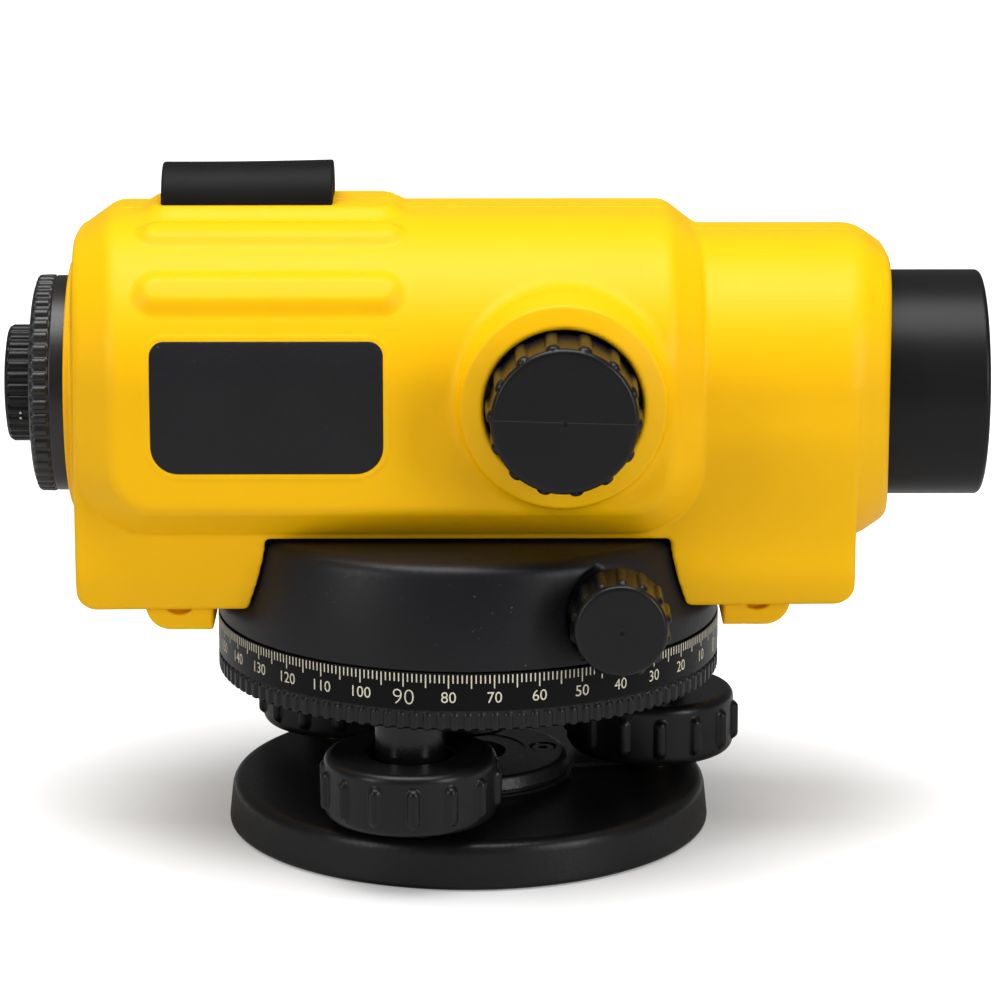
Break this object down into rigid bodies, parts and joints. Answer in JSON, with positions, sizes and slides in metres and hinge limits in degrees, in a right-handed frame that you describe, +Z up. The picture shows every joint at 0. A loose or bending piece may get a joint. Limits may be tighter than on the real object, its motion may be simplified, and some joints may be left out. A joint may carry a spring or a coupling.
{
  "type": "automatic level",
  "caption": "Surveying level: self-levelling telescope on a rotating head with slow-motion knobs, graduated circle and three-screw levelling base.",
  "frame": {"origin": "on the vertical axis at the underside of the base plate, the mouth of the tripod thread", "axes": "+Z up along the vertical axis, +X from the eyepiece to the objective, -Y towards the focusing knob"},
  "size_m": [0.2012, 0.1174, 0.1404],
  "materials": {
    "black_paint": "fine textured black paint",
    "black_plastic": "moulded, satin",
    "circle_black": "moulded, satin, with cream graduations",
    "yellow_plastic": "moulded, satin",
    "label_black": "printed label, satin",
    "black_aluminium": "black anodised",
    "cast_aluminium": "cast and machined",
    "steel": "turned",
    "screw_steel": "black oxide",
    "brass": "machined",
    "optical_glass": "coated",
    "vial": "clear with tinted liquid",
    "mirror": "polished"
  },
  "bodies": {
    "base": {"base_plate": "black_paint", "tripod_insert": "cast_aluminium", "foot_ball_1": "steel", "spring_plate": "steel", "hub_cover": "black_paint", "plate_screws": "screw_steel"},
    "ball_2": {"foot_ball_2": "steel"},
    "ball_3": {"foot_ball_3": "steel"},
    "tribrach": {"tribrach_body": "black_paint", "axis_bush": "brass", "clutch_nut": "steel"},
    "shoe_1": {"foot_pad_1": "brass"},
    "shoe_2": {"foot_pad_2": "brass"},
    "shoe_3": {"foot_pad_3": "brass"},
    "screw_1": {"foot_stem_1": "steel", "foot_knob_1": "black_plastic"},
    "screw_2": {"foot_stem_2": "steel", "foot_knob_2": "black_plastic"},
    "screw_3": {"foot_stem_3": "steel", "foot_knob_3": "black_plastic"},
    "circle": {"horizontal_circle": "circle_black"},
    "wheel": {"worm_wheel": "brass", "clutch_spring": "steel"},
    "alidade": {"spindle": "steel", "spindle_nut": "steel", "base_housing": "black_plastic", "housing_floor": "black_plastic", "telescope_body": "cast_aluminium", "casing_right": "yellow_plastic", "casing_left": "yellow_plastic", "casing_screws": "screw_steel", "name_plate": "label_black", "objective_hood": "black_aluminium", "objective_crown": "optical_glass", "objective_flint": "optical_glass", "objective_ring": "black_aluminium", "compensator_frame": "black_aluminium", "roof_prism": "optical_glass", "suspension_wires": "steel", "reticle_cell": "black_aluminium", "reticle_glass": "optical_glass", "sight_body": "black_plastic", "vial_housing": "black_plastic", "vial_glass": "vial"},
    "slow_motion": {"worm": "steel", "tangent_knob_right": "black_plastic", "tangent_knob_left": "black_plastic"},
    "focus_drive": {"focus_pinion": "brass", "focus_knob": "black_plastic"},
    "focus_carriage": {"focus_cell": "black_aluminium", "focus_lens": "optical_glass", "focus_rack": "brass"},
    "pendulum": {"pendulum_frame": "brass", "pendulum_prism": "optical_glass"},
    "cover": {"reticle_cover": "black_plastic"},
    "eyepiece": {"eyepiece_barrel": "black_plastic", "eyepiece_lenses": "optical_glass"},
    "dioptre": {"diopter_ring": "black_plastic"},
    "mirror": {"mirror_arm": "black_plastic", "mirror_glass": "mirror"}
  },
  "joints": [
    {"name": "level_1_tilt", "type": "hinge", "parent": "base", "child": "ball_2", "pos_m": [0.03897, 0.009, 0.008], "axis": [-0.9563, 0.2924, 0], "range_deg": [-1.72, 1.72]},
    {"name": "level_2_tilt", "type": "hinge", "parent": "ball_2", "child": "ball_3", "pos_m": [-0.02728, 0.02925, 0.008], "axis": [0.225, -0.9744, 0], "range_deg": [-1.72, 1.72]},
    {"name": "level_3_tilt", "type": "hinge", "parent": "ball_3", "child": "tribrach", "pos_m": [-0.01169, -0.03825, 0.008], "axis": [0.7314, 0.682, 0], "range_deg": [-1.72, 1.72]},
    {"name": "level_1_travel", "type": "slide", "parent": "tribrach", "child": "shoe_1", "axis": [0, 0, 1], "range_m": [-0.0018, 0.0018]},
    {"name": "level_1_turn", "type": "hinge", "parent": "shoe_1", "child": "screw_1", "pos_m": [-0.01169, -0.03825, 0.008], "axis": [0, 0, 1], "range_deg": [-1081, 1081]},
    {"name": "level_2_travel", "type": "slide", "parent": "tribrach", "child": "shoe_2", "axis": [0, 0, 1], "range_m": [-0.0018, 0.0018]},
    {"name": "level_2_turn", "type": "hinge", "parent": "shoe_2", "child": "screw_2", "pos_m": [0.03897, 0.009, 0.008], "axis": [0, 0, 1], "range_deg": [-1081, 1081]},
    {"name": "level_3_travel", "type": "slide", "parent": "tribrach", "child": "shoe_3", "axis": [0, 0, 1], "range_m": [-0.0018, 0.0018]},
    {"name": "level_3_turn", "type": "hinge", "parent": "shoe_3", "child": "screw_3", "pos_m": [-0.02728, 0.02925, 0.008], "axis": [0, 0, 1], "range_deg": [-1081, 1081]},
    {"name": "circle_turn", "type": "hinge", "parent": "tribrach", "child": "circle", "pos_m": [0, 0, 0.036], "axis": [0, 0, 1], "continuous": true},
    {"name": "head_turn", "type": "hinge", "parent": "tribrach", "child": "wheel", "pos_m": [0, 0, 0.0562], "axis": [0, 0, 1], "continuous": true},
    {"name": "head_fine_turn", "type": "hinge", "parent": "wheel", "child": "alidade", "pos_m": [0, 0, 0.0562], "axis": [0, 0, 1], "continuous": true},
    {"name": "slow_motion_turn", "type": "hinge", "parent": "alidade", "child": "slow_motion", "pos_m": [0.0302, 0, 0.0562], "axis": [0, -1, 0], "continuous": true},
    {"name": "focus_turn", "type": "hinge", "parent": "alidade", "child": "focus_drive", "pos_m": [0.019, -0.0445, 0.09775], "axis": [0, -1, 0], "range_deg": [-190, 190]},
    {"name": "focus_travel", "type": "slide", "parent": "alidade", "child": "focus_carriage", "axis": [1, 0, 0], "range_m": [-0.0116, 0.0116]},
    {"name": "dioptre_turn", "type": "hinge", "parent": "alidade", "child": "dioptre", "pos_m": [-0.092, 0, 0.094], "axis": [-1, 0, 0], "range_deg": [-150.5, 150.5]},
    {"name": "dioptre_travel", "type": "slide", "parent": "alidade", "child": "eyepiece", "axis": [-1, 0, 0], "range_m": [-0.00125, 0.00125]},
    {"name": "cover_turn", "type": "hinge", "parent": "alidade", "child": "cover", "pos_m": [-0.086, 0, 0.094], "axis": [-1, 0, 0], "range_deg": [0, 30]},
    {"name": "pendulum_swing", "type": "hinge", "parent": "alidade", "child": "pendulum", "pos_m": [-0.052, 0, 0.108], "axis": [0, 1, 0], "range_deg": [-0.3, 0.3]},
    {"name": "mirror_flip", "type": "hinge", "parent": "alidade", "child": "mirror", "pos_m": [-0.0346, 0.049, 0.1044], "axis": [0, 1, 0], "range_deg": [-42, 35]}
  ],
  "couplings": [
    {"joint": "level_1_tilt", "follows": "level_1_travel", "rad_per_m": -16.667},
    {"joint": "level_2_tilt", "follows": "level_2_travel", "rad_per_m": -16.667},
    {"joint": "level_3_tilt", "follows": "level_3_travel", "rad_per_m": -16.667},
    {"joint": "level_1_turn", "follows": "level_1_travel", "rad_per_m": 10472},
    {"joint": "level_2_turn", "follows": "level_2_travel", "rad_per_m": 10472},
    {"joint": "level_3_turn", "follows": "level_3_travel", "rad_per_m": 10472},
    {"joint": "head_fine_turn", "follows": "slow_motion_turn", "ratio": 0.011111},
    {"joint": "focus_turn", "follows": "focus_travel", "rad_per_m": 285.71},
    {"joint": "dioptre_turn", "follows": "dioptre_travel", "rad_per_m": 2094.4}
  ]
}
